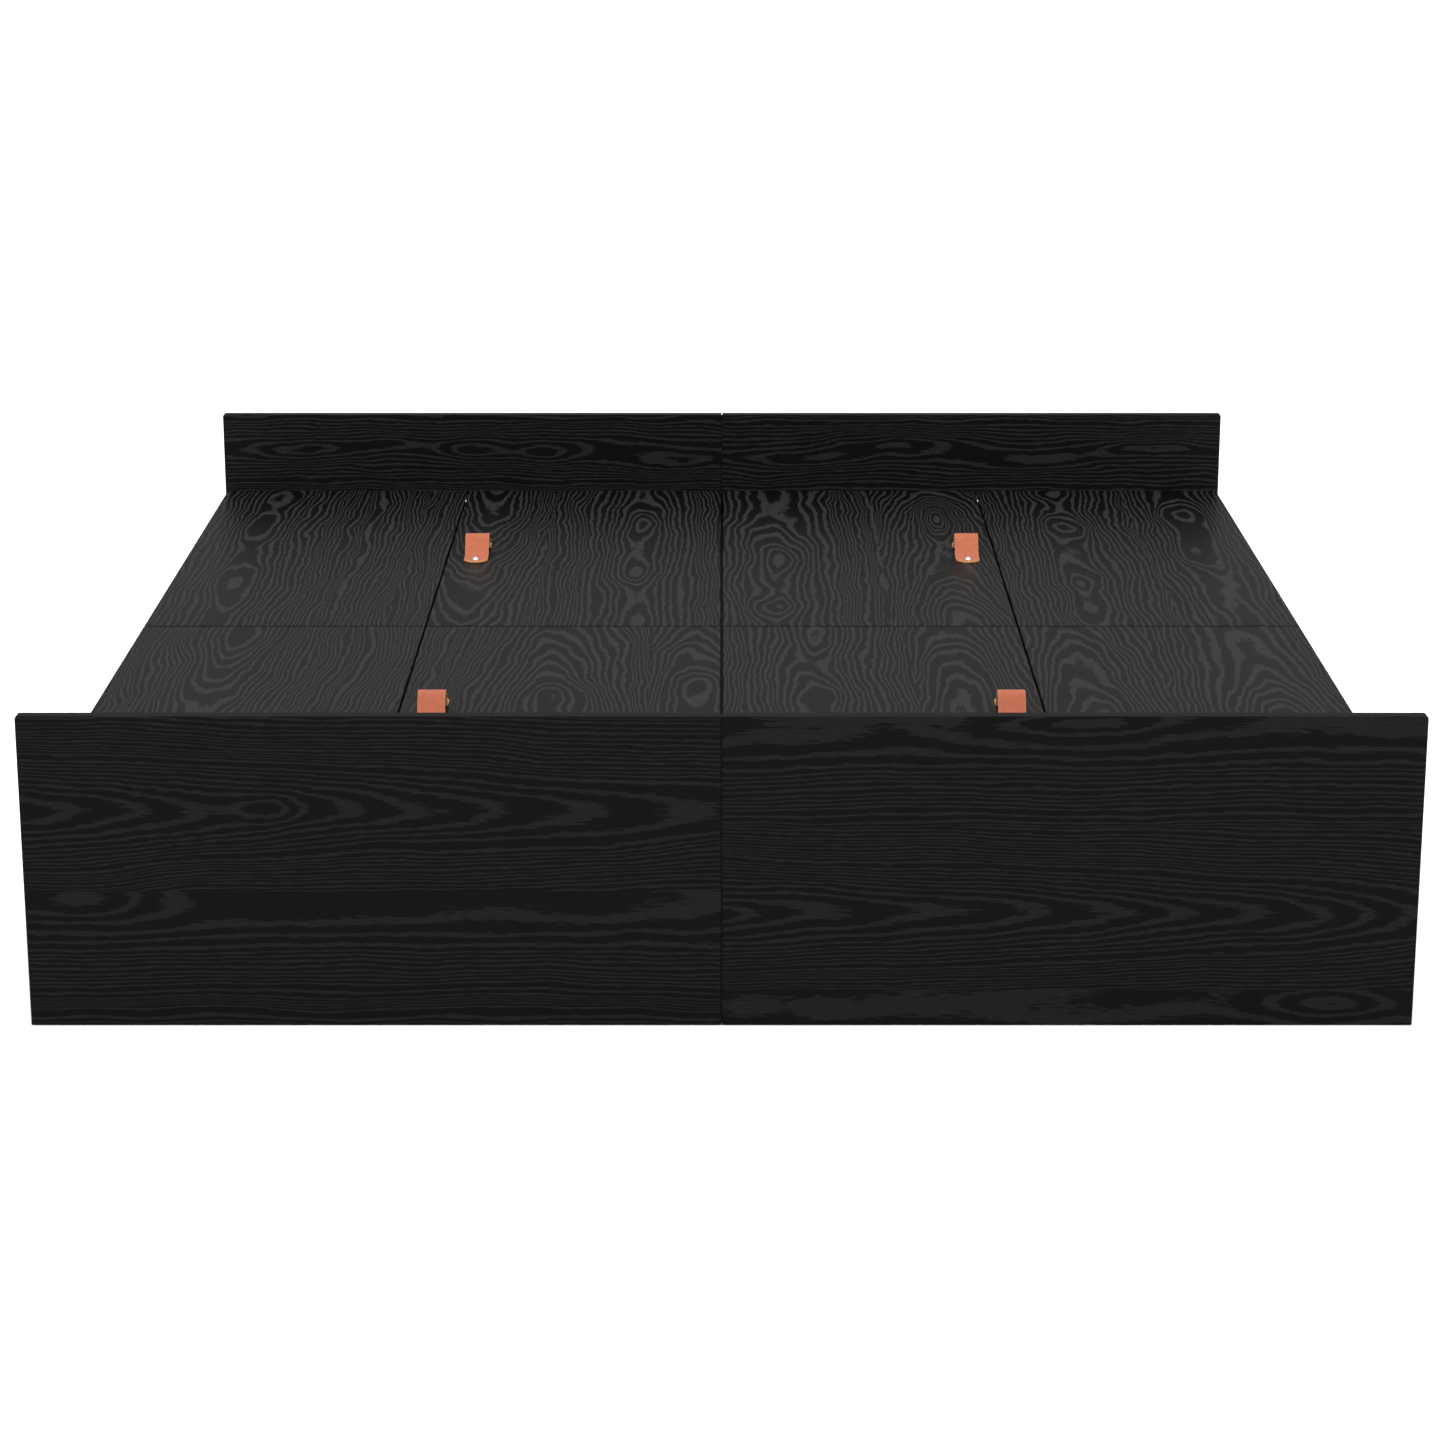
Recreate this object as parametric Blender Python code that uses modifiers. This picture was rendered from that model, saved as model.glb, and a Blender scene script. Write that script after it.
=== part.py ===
"""Platform bed for a 1800 x 2000 mm mattress, with four lift-up chest lids and four side drawers.

Metres, +Z up. The origin is on the floor under the middle of the bed, -Y is the foot, +Y the head, and
left and right are those of someone who stands at the foot and looks at the head. Every piece repeats in
the four quarters of the bed: head_left, head_right, foot_left and foot_right.
"""

import math

import bmesh
import bpy
from mathutils import Matrix, Vector

# Whole bed
BED_WIDTH = 1.840
CLEAR_LENGTH = 2.010  # between the two end boards, where the mattress lies
DECK_TOP = 0.285
DECK_INSET = 0.004  # deck edge inside the end boards' ends

# Head and foot boards, each in two halves
BOARD_HEIGHT = 0.428
BOARD_THICKNESS = 0.019
BOARD_CORNER = 0.004
BOARD_SPLIT = 0.0015

# Deck: fixed panels outside, lids inside
DECK_THICKNESS = 0.019
LID_JOINT = 0.4695  # from the bed's middle to the joint between lid and fixed panel
LID_GAP = 0.003
CENTRE_GAP = 0.004
ROW_GAP = 0.005
END_GAP = 0.001

# Walls under the deck
WALL_THICKNESS = 0.019
FLOOR_THICKNESS = 0.006
FLOOR_HEIGHT = 0.020
GROOVE_DEPTH = 0.005
RAIL_THICKNESS = 0.019
RAIL_HEIGHT = 0.045

# Drawers
FRONT_THICKNESS = 0.019
FRONT_CLEARANCE = 0.012  # under the front
FRONT_GAP = 0.003
NOTCH_WIDTH = 0.120
NOTCH_DEPTH = 0.026
NOTCH_RADIUS = 0.013
BOX_THICKNESS = 0.012
BOX_DROP = 0.016  # from the bottom of the finger notch down to the box's rim
BOX_CLEARANCE = 0.026  # under the box
BOX_REAR_GAP = 0.010
BOX_FLOOR_RISE = 0.010

# Drawer runners
RUNNER_HEIGHT = 0.038
RUNNER_DEPTH = 0.0105
RUNNER_SPACE = 0.0127  # between wall and drawer box
RUNNER_SHEET = 0.0015
RUNNER_RISE = 0.010  # above the underside of the drawer box
RUNNER_REAR_GAP = 0.004
RUNNER_FRONT_GAP = 0.014

# Lid hinges, two to a lid
CUP_RADIUS = 0.0175
CUP_DEPTH = 0.012
CUP_WALL = 0.0012
CUP_CLEARANCE = 0.001  # between the cup and the centre wall under it
FLANGE_WIDTH = 0.024
FLANGE_LENGTH = 0.062
HINGE_INSET = 0.150

# Leather straps, one to a lid
STRAP_WIDTH = 0.040
STRAP_THICKNESS = 0.003
STRAP_SPAN = 0.150
STRAP_HEIGHT = 0.034
STRAP_EDGE = 0.0486  # from the lid's outer edge to the middle of the strap
STRAP_SLOPE = math.radians(55)
FOLD_RADIUS = 0.015
BEND_RADIUS = 0.010
END_BULGE = 0.014  # how far the middle of each rounded end stands out past its corners

SEAT = 0.0003  # between pieces that touch
EASE = 0.0008
CUT = 0.010  # how far a cutter runs past what it cuts

HALF_LENGTH = CLEAR_LENGTH / 2
SIDE = BED_WIDTH / 2 - DECK_INSET
DECK_BOTTOM = DECK_TOP - DECK_THICKNESS
WALL_TOP = DECK_BOTTOM - SEAT
WALL_END = HALF_LENGTH - SEAT
RAIL_BOTTOM = WALL_TOP - RAIL_HEIGHT
LID_INNER = CENTRE_GAP / 2
LID_OUTER = LID_JOINT - LID_GAP / 2
PARTITION_INNER = LID_JOINT - WALL_THICKNESS / 2
PARTITION_OUTER = LID_JOINT + WALL_THICKNESS / 2
FRONT_INNER = SIDE - FRONT_THICKNESS
FRONT_TOP = RAIL_BOTTOM - FRONT_GAP
NOTCH_BOTTOM = FRONT_TOP - NOTCH_DEPTH
BOX_TOP = NOTCH_BOTTOM - BOX_DROP
BOX_Y = (WALL_THICKNESS / 2 + RUNNER_SPACE, HALF_LENGTH - RUNNER_SPACE)

ROWS = (("head", 1), ("foot", -1))
SIDES = (("left", -1), ("right", 1))


def clear_scene():
    for obj in list(bpy.data.objects):
        bpy.data.objects.remove(obj, do_unlink=True)


def new_collection(name):
    collection = bpy.data.collections.new(name)
    bpy.context.scene.collection.children.link(collection)
    return collection


def material(name, colour, roughness, metallic=0.0):
    made = bpy.data.materials.new(name)
    made.use_nodes = True
    shader = made.node_tree.nodes["Principled BSDF"]
    shader.inputs["Base Color"].default_value = (*colour, 1.0)
    shader.inputs["Roughness"].default_value = roughness
    shader.inputs["Metallic"].default_value = metallic
    return made


def span(sign, near, far):
    """Limits along one axis of something between two distances from the middle, on the given side."""
    return tuple(sorted((sign * near, sign * far)))


def add_object(name, mesh, location, collection, finish):
    obj = bpy.data.objects.new(name, mesh)
    obj.location = location
    collection.objects.link(obj)
    if finish:
        mesh.materials.append(finish)
    return obj


def block(name, x, y, z, finish, rounded=None, ease=EASE):
    """A rectangular piece between the given limits, with its edges eased. With no finish it is a cutter.

    rounded is (axis, corner, radius) for the edges along that axis: corner is the direction of the one edge
    to round, or None for all four.
    """
    size = Vector((x[1] - x[0], y[1] - y[0], z[1] - z[0]))
    shape = bmesh.new()
    bmesh.ops.create_cube(shape, size=1.0, matrix=Matrix.Diagonal((*size, 1.0)))
    if rounded:
        round_edges(shape, *rounded)
    mesh = bpy.data.meshes.new(name)
    shape.to_mesh(mesh)
    shape.free()
    centre = Vector((sum(x), sum(y), sum(z))) / 2
    obj = add_object(name, mesh, centre, parts if finish else cutters, finish)
    if not finish:
        hide_cutter(obj)
    elif ease:
        bevel = obj.modifiers.new("eased_edges", "BEVEL")
        bevel.width = ease
        bevel.segments = 1
        bevel.limit_method = "ANGLE"
    return obj


def round_edges(shape, axis, corner, radius):
    chosen = []
    for edge in shape.edges:
        first, second = (vertex.co for vertex in edge.verts)
        along = abs(first[axis] - second[axis]) > radius
        if along and (corner is None or all(at * to >= 0 for at, to in zip(first + second, corner))):
            chosen.append(edge)
    bmesh.ops.bevel(
        shape, geom=chosen, offset=radius, offset_type="OFFSET", segments=4, profile=0.5, affect="EDGES"
    )


def round_cutter(name, radius, x, y, z):
    """An upright cylinder that cuts or joins, with its middle at x and y, between the limits z."""
    shape = bmesh.new()
    bmesh.ops.create_cone(
        shape, cap_ends=True, segments=24, radius1=radius, radius2=radius, depth=z[1] - z[0]
    )
    mesh = bpy.data.meshes.new(name)
    shape.to_mesh(mesh)
    shape.free()
    obj = add_object(name, mesh, (x, y, sum(z) / 2), cutters, None)
    hide_cutter(obj)
    return obj


def hide_cutter(obj):
    obj.hide_render = True
    obj.display_type = "WIRE"


def combine(obj, other, operation="DIFFERENCE"):
    boolean = obj.modifiers.new(other.name, "BOOLEAN")
    boolean.object = other
    boolean.operation = operation
    boolean.solver = "EXACT"


def pivot(name, location):
    """An empty on a joint's axis, which carries the pieces that move with it."""
    empty = bpy.data.objects.new(name, None)
    empty.location = location
    parts.objects.link(empty)
    return empty


def attach(empty, *pieces):
    for piece in pieces:
        piece.parent = empty
        piece.location -= empty.location


# End boards


def build_board(row, sign_y, side, sign_x):
    """Half of the head or foot board, which stands on the floor and has a rounded outer top corner."""
    return block(
        f"{row}board_{side}",
        span(sign_x, BOARD_SPLIT / 2, BED_WIDTH / 2),
        span(sign_y, HALF_LENGTH, HALF_LENGTH + BOARD_THICKNESS),
        (0.0, BOARD_HEIGHT),
        oak,
        rounded=(1, (sign_x, 0, 1), BOARD_CORNER),
    )


# Walls under the deck


def build_centre_wall(row, sign_y):
    half = WALL_THICKNESS / 2
    return block(
        f"centre_wall_{row}", (-half, half), span(sign_y, SEAT / 2, WALL_END), (0.0, WALL_TOP), oak
    )


def build_mid_wall(side, sign_x):
    """The wall across the bed under the joint between the two rows, behind the drawer fronts and rails."""
    half = WALL_THICKNESS / 2
    outer = SIDE - max(FRONT_THICKNESS, RAIL_THICKNESS) - SEAT
    return block(f"mid_wall_{side}", span(sign_x, half + SEAT, outer), (-half, half), (0.0, WALL_TOP), oak)


def build_partition(row, sign_y, side, sign_x):
    """The wall under the joint between lid and fixed panel, which divides chest from drawer."""
    return block(
        f"partition_{row}_{side}",
        span(sign_x, PARTITION_INNER, PARTITION_OUTER),
        span(sign_y, WALL_THICKNESS / 2 + SEAT, WALL_END),
        (0.0, WALL_TOP),
        oak,
    )


def build_side_rail(row, sign_y, side, sign_x):
    """The rail above a drawer, which carries the deck's outer edge."""
    return block(
        f"side_rail_{row}_{side}",
        span(sign_x, SIDE - RAIL_THICKNESS, SIDE),
        span(sign_y, SEAT / 2, WALL_END),
        (RAIL_BOTTOM, WALL_TOP),
        oak,
    )


def build_chest_floor(row, sign_y, side, sign_x, walls):
    """The floor of a chest, held in a groove in each of the four walls around it."""
    inner = (WALL_THICKNESS / 2, PARTITION_INNER)
    depth = (WALL_THICKNESS / 2, HALF_LENGTH)
    reach = GROOVE_DEPTH - SEAT
    floor = block(
        f"chest_floor_{row}_{side}",
        span(sign_x, inner[0] - reach, inner[1] + reach),
        span(sign_y, depth[0] - reach, depth[1] + reach),
        (FLOOR_HEIGHT, FLOOR_HEIGHT + FLOOR_THICKNESS),
        board,
    )
    groove = block(
        f"chest_groove_{row}_{side}",
        span(sign_x, inner[0] - GROOVE_DEPTH, inner[1] + GROOVE_DEPTH),
        span(sign_y, depth[0] - GROOVE_DEPTH, depth[1] + GROOVE_DEPTH),
        (FLOOR_HEIGHT - SEAT, FLOOR_HEIGHT + FLOOR_THICKNESS + SEAT),
        None,
    )
    for wall in walls:
        combine(wall, groove)
    return floor


# Deck


def row_span(sign_y):
    return span(sign_y, ROW_GAP / 2, HALF_LENGTH - END_GAP)


def build_deck_panel(row, sign_y, side, sign_x):
    """The fixed outer panel, over a drawer."""
    inner = LID_JOINT + LID_GAP / 2
    x = span(sign_x, inner, SIDE)
    return block(f"deck_panel_{row}_{side}", x, row_span(sign_y), (DECK_BOTTOM, DECK_TOP), oak)


def build_lid(row, sign_y, side, sign_x):
    """The lift-up lid over a chest, with its strap and hinge cups, on a pivot along its upper inner edge."""
    place = f"{row}_{side}"
    y = row_span(sign_y)
    middle = sum(y) / 2
    lid = block(f"lid_{place}", span(sign_x, LID_INNER, LID_OUTER), y, (DECK_BOTTOM, DECK_TOP), oak)
    hinge = pivot(f"lid_hinge_{place}", (sign_x * LID_INNER, middle, DECK_TOP))
    strap_x = sign_x * (LID_OUTER - STRAP_EDGE)
    pieces = [lid, build_strap(f"strap_{place}", (strap_x, middle, DECK_TOP + SEAT))]
    for end, along in (("front", y[0] + HINGE_INSET), ("rear", y[1] - HINGE_INSET)):
        name = f"hinge_cup_{place}_{end}"
        pieces.append(build_hinge_cup(name, lid, sign_x, along))
    attach(hinge, *pieces)
    return lid


def build_hinge_cup(name, lid, sign_x, along):
    """A pressed cup let into the underside of the lid, on a flange that is screwed to it."""
    across = sign_x * (WALL_THICKNESS / 2 + CUP_CLEARANCE + CUP_RADIUS)
    top = DECK_BOTTOM + CUP_DEPTH
    low = DECK_BOTTOM - SEAT - CUP_WALL
    bore = round_cutter(
        f"{name}_bore", CUP_RADIUS + SEAT, across, along, (DECK_BOTTOM - CUT, top + SEAT)
    )
    combine(lid, bore)
    flange = block(
        name,
        (across - FLANGE_WIDTH / 2, across + FLANGE_WIDTH / 2),
        (along - FLANGE_LENGTH / 2, along + FLANGE_LENGTH / 2),
        (low, DECK_BOTTOM - SEAT),
        steel,
        ease=None,
    )
    shell = round_cutter(f"{name}_shell", CUP_RADIUS, across, along, (low, top))
    hollow = round_cutter(
        f"{name}_hollow", CUP_RADIUS - CUP_WALL, across, along, (low - CUT, top - CUP_WALL)
    )
    combine(flange, shell, "UNION")
    combine(flange, hollow)
    return flange


def strap_line():
    """The strap's middle line as (along, up) points, from one foot's bend over the fold to the other's."""
    rise = STRAP_HEIGHT - STRAP_THICKNESS
    arcs = (FOLD_RADIUS + BEND_RADIUS) * (1 - math.cos(STRAP_SLOPE))
    straight = (rise - arcs) / math.tan(STRAP_SLOPE)
    run = (FOLD_RADIUS + BEND_RADIUS) * math.sin(STRAP_SLOPE) + straight
    steps = 4
    angles = [STRAP_SLOPE * step / steps for step in range(steps + 1)]
    bend = [(-run + BEND_RADIUS * math.sin(turn), BEND_RADIUS * (1 - math.cos(turn))) for turn in angles]
    fold = [(-FOLD_RADIUS * math.sin(turn), rise - FOLD_RADIUS * (1 - math.cos(turn))) for turn in angles]
    half = bend + fold[::-1]
    return half + [(-along, up) for along, up in reversed(half[:-1])]


def build_strap(name, base):
    """A leather strip folded to an arch, its two ends flat on the lid and cut to an arc."""
    line = strap_line()
    columns = 8
    end_radius = ((STRAP_WIDTH / 2) ** 2 + END_BULGE**2) / (2 * END_BULGE)
    shape = bmesh.new()
    rows = []
    for column in range(columns + 1):
        across = STRAP_WIDTH * (column / columns - 0.5)
        arc = end_radius - math.sqrt(end_radius**2 - across**2)
        end = STRAP_SPAN / 2 - arc
        points = [(-end, 0.0), *line, (end, 0.0)]
        rows.append([shape.verts.new((across, along, up + STRAP_THICKNESS / 2)) for along, up in points])
    for left, right in zip(rows, rows[1:]):
        for index in range(len(left) - 1):
            shape.faces.new((left[index], right[index], right[index + 1], left[index + 1]))
    bmesh.ops.recalc_face_normals(shape, faces=shape.faces)
    mesh = bpy.data.meshes.new(name)
    shape.to_mesh(mesh)
    shape.free()
    obj = add_object(name, mesh, base, parts, leather)
    thick = obj.modifiers.new("leather_thickness", "SOLIDIFY")
    thick.thickness = STRAP_THICKNESS
    thick.offset = 0.0
    thick.use_even_offset = True
    return obj


# Drawers


def build_drawer(row, sign_y, side, sign_x):
    """A side drawer: its front with a finger notch, its box and the box's floor."""
    place = f"{row}_{side}"
    front_y = span(sign_y, FRONT_GAP / 2, HALF_LENGTH - FRONT_GAP)
    front = block(
        f"drawer_front_{place}",
        span(sign_x, FRONT_INNER, SIDE),
        front_y,
        (FRONT_CLEARANCE, FRONT_TOP),
        oak,
    )
    middle = sum(front_y) / 2
    notch = block(
        f"finger_notch_{place}",
        span(sign_x, FRONT_INNER - CUT, SIDE + CUT),
        (middle - NOTCH_WIDTH / 2, middle + NOTCH_WIDTH / 2),
        (NOTCH_BOTTOM, FRONT_TOP + NOTCH_DEPTH),
        None,
        rounded=(0, None, NOTCH_RADIUS),
    )
    combine(front, notch)
    outer_x = (PARTITION_OUTER + BOX_REAR_GAP, FRONT_INNER - SEAT)
    floor_z = BOX_CLEARANCE + BOX_FLOOR_RISE
    box = build_drawer_box(place, sign_x, sign_y, outer_x, floor_z)
    inset = BOX_THICKNESS - GROOVE_DEPTH + SEAT
    floor = block(
        f"drawer_floor_{place}",
        span(sign_x, outer_x[0] + inset, outer_x[1] - inset),
        span(sign_y, BOX_Y[0] + inset, BOX_Y[1] - inset),
        (floor_z, floor_z + FLOOR_THICKNESS),
        board,
    )
    slide = pivot(f"drawer_slide_{place}", (sign_x * FRONT_INNER, middle, floor_z))
    attach(slide, front, box, floor)


def build_drawer_box(place, sign_x, sign_y, outer_x, floor_z):
    """The four sides of a drawer, with a groove round the inside for the floor."""
    box = block(
        f"drawer_box_{place}",
        span(sign_x, *outer_x),
        span(sign_y, *BOX_Y),
        (BOX_CLEARANCE, BOX_TOP),
        board,
    )
    for name, inset, z in (
        ("inside", BOX_THICKNESS, (BOX_CLEARANCE - CUT, BOX_TOP + CUT)),
        ("groove", BOX_THICKNESS - GROOVE_DEPTH, (floor_z - SEAT, floor_z + FLOOR_THICKNESS + SEAT)),
    ):
        cutter = block(
            f"drawer_{name}_{place}",
            span(sign_x, outer_x[0] + inset, outer_x[1] - inset),
            span(sign_y, BOX_Y[0] + inset, BOX_Y[1] - inset),
            z,
            None,
        )
        combine(box, cutter)
    return box


def build_runner(place, end, sign_x, sign_y, wall, toward):
    """The channel in which a drawer's roller runs, on a wall at that distance from the bed's middle.

    toward is 1 where the channel lies beyond the wall's face, and -1 where it lies before it.
    """
    x = (PARTITION_OUTER + RUNNER_REAR_GAP, FRONT_INNER - RUNNER_FRONT_GAP)
    low = BOX_CLEARANCE + RUNNER_RISE
    near = wall + toward * SEAT
    far = wall + toward * RUNNER_DEPTH
    runner = block(
        f"runner_{place}_{end}",
        span(sign_x, *x),
        span(sign_y, near, far),
        (low, low + RUNNER_HEIGHT),
        steel,
        ease=None,
    )
    channel = block(
        f"runner_channel_{place}_{end}",
        span(sign_x, x[0] - CUT, x[1] + CUT),
        span(sign_y, near + toward * RUNNER_SHEET, far + toward * CUT),
        (low + RUNNER_SHEET, low + RUNNER_HEIGHT - RUNNER_SHEET),
        None,
    )
    combine(runner, channel)


clear_scene()
parts = new_collection("platform_bed")
cutters = new_collection("cutters")
oak = material("black_oak", (0.012, 0.012, 0.012), 0.45)
board = material("black_board", (0.020, 0.020, 0.020), 0.60)
leather = material("coral_leather", (0.62, 0.18, 0.10), 0.55)
steel = material("zinc_steel", (0.56, 0.57, 0.58), 0.35, 1.0)

centre_walls = {row: build_centre_wall(row, sign_y) for row, sign_y in ROWS}
mid_walls = {side: build_mid_wall(side, sign_x) for side, sign_x in SIDES}
for row, sign_y in ROWS:
    for side, sign_x in SIDES:
        quarter = (row, sign_y, side, sign_x)
        end_board = build_board(*quarter)
        partition = build_partition(*quarter)
        build_side_rail(*quarter)
        build_chest_floor(*quarter, (centre_walls[row], mid_walls[side], partition, end_board))
        build_deck_panel(*quarter)
        build_lid(*quarter)
        build_drawer(*quarter)
        build_runner(f"{row}_{side}", "inner", sign_x, sign_y, WALL_THICKNESS / 2, 1)
        build_runner(f"{row}_{side}", "outer", sign_x, sign_y, HALF_LENGTH, -1)
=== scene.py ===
"""The looks of a black oak platform bed with lift-up lids and side drawers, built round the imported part."""

import math

import bmesh
import bpy
from mathutils import Matrix, Vector


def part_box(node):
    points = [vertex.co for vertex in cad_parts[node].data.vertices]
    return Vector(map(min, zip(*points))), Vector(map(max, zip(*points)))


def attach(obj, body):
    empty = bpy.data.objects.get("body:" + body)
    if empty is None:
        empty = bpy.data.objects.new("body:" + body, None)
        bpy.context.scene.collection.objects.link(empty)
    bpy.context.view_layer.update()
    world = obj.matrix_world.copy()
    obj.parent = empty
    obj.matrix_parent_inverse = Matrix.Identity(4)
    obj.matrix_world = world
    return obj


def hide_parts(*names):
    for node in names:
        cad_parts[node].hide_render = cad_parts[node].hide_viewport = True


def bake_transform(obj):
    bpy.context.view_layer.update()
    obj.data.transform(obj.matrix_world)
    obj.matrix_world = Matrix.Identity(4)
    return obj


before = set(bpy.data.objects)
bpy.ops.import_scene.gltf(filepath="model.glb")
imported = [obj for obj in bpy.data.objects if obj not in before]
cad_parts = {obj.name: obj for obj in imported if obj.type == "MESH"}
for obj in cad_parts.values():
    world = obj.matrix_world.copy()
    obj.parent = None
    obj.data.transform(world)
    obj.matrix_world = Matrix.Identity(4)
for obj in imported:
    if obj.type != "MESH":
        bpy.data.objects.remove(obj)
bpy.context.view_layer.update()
bpy.ops.object.select_all(action="DESELECT")


# Studio ---------------------------------------------------------------------
# A wide matt floor of pale paper, which the light lifts to white, under one big soft box straight
# above. The dim sky grows brighter overhead and before the foot end, so that the black oak shows its
# figure and little gloss.

MM = 0.001


def linear(code):
    """An sRGB hex value as linear red, green, blue and alpha."""
    parts = [int(code[i : i + 2], 16) / 255 for i in (1, 3, 5)]
    return (*[p / 12.92 if p <= 0.04045 else ((p + 0.055) / 1.055) ** 2.4 for p in parts], 1.0)


def add(tree, kind, inputs=None, **settings):
    """Adds one shader node with its settings. An input is a value, a socket, or a node's first output."""
    made = tree.nodes.new(kind)
    for name, value in settings.items():
        setattr(made, name, value)
    for socket, value in (inputs or {}).items():
        if isinstance(value, bpy.types.Node):
            value = value.outputs[0]
        if isinstance(value, bpy.types.NodeSocket):
            tree.links.new(value, made.inputs[socket])
        else:
            made.inputs[socket].default_value = value
    return made


def new_material(name):
    """A material with no nodes yet, and its node tree."""
    made = bpy.data.materials.new(name)
    made.use_nodes = True
    made.node_tree.nodes.clear()
    return made, made.node_tree


paper, tree = new_material("studio_paper")
place = add(tree, "ShaderNodeTexCoord").outputs["Object"]
fibre = add(tree, "ShaderNodeTexNoise", {"Vector": place, "Scale": 900.0, "Detail": 3.0})  # 1.1 mm
shade = add(tree, "ShaderNodeMix", {0: fibre, 6: linear("#EFEFEF"), 7: linear("#F6F6F6")}, data_type="RGBA")
shader = add(tree, "ShaderNodeBsdfPrincipled", {
    "Base Color": shade.outputs[2], "Roughness": 0.9, "Specular IOR Level": 0.1})
add(tree, "ShaderNodeOutputMaterial", {"Surface": shader})

FLOOR_SIZE = 120
FLOOR_DROP = 0.8 * MM  # just clear of the bed's underside, so that the two share no plane
bpy.ops.mesh.primitive_plane_add(size=FLOOR_SIZE, location=(0, 0, -FLOOR_DROP))
floor = bpy.context.object
floor.name = "studio_floor"
bpy.ops.object.transform_apply(location=True, rotation=True, scale=True)
floor.data.materials.append(paper)

# The sky's strength is that of its dim rim, and grows with the square of how far a direction points
# up (+Z) and to the front (-Y). What the camera sees behind the floor is plain white.
RIM_GLOW, TOP_GLOW, FRONT_GLOW = 0.42, 1.1, 3.8
world = bpy.data.worlds.new("studio_sky")
bpy.context.scene.world = world
world.use_nodes = True
sky = world.node_tree
sky.nodes.clear()
way = add(sky, "ShaderNodeSeparateXYZ", {0: add(sky, "ShaderNodeTexCoord").outputs["Generated"]})
glow = RIM_GLOW
for axis, towards, power in (("Z", 1.0, TOP_GLOW), ("Y", -1.0, FRONT_GLOW)):
    part = add(sky, "ShaderNodeMath", {0: way.outputs[axis], 1: towards}, operation="MULTIPLY")
    part = add(sky, "ShaderNodeMath", {0: part, 1: 0.0}, operation="MAXIMUM")
    part = add(sky, "ShaderNodeMath", {0: part, 1: part}, operation="MULTIPLY")
    glow = add(sky, "ShaderNodeMath", {0: part, 1: power, 2: glow}, operation="MULTIPLY_ADD")
dim = add(sky, "ShaderNodeBackground", {"Color": (1, 1, 1, 1), "Strength": glow})
bright = add(sky, "ShaderNodeBackground", {"Color": (1, 1, 1, 1), "Strength": 1.0})
seen = add(sky, "ShaderNodeLightPath").outputs["Is Camera Ray"]
sky_mix = add(sky, "ShaderNodeMixShader", {0: seen, 1: dim, 2: bright})
add(sky, "ShaderNodeOutputWorld", {"Surface": sky_mix})

BOX_PLACE, BOX_SIZE, BOX_WATTS = (0, -0.6, 4.6), 6.0, 190
bpy.ops.object.light_add(type="AREA", location=BOX_PLACE)
soft_box = bpy.context.object
soft_box.name = "soft_box"
soft_box.data.shape = "RECTANGLE"
soft_box.data.size, soft_box.data.size_y = BOX_SIZE, BOX_SIZE
soft_box.data.energy = BOX_WATTS

CAMERA_PLACE, LOOKS_DOWN, LENS, SENSOR = (0.0012, -5.514, 1.708), 16.009, 89.46, 36
bpy.ops.object.camera_add(location=CAMERA_PLACE, rotation=(math.radians(90 - LOOKS_DOWN), 0, 0))
camera = bpy.context.object
camera.data.sensor_width = SENSOR
camera.data.lens = LENS
bpy.context.scene.camera = camera
bpy.context.scene.view_settings.view_transform = "Standard"


# Head and foot boards -------------------------------------------------------
# Two half boards at each end, 19 mm chipboard faced with sliced oak veneer and banded on its edges,
# stained black under an open-pore matt lacquer. The pores stay a little paler than the wood.


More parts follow.
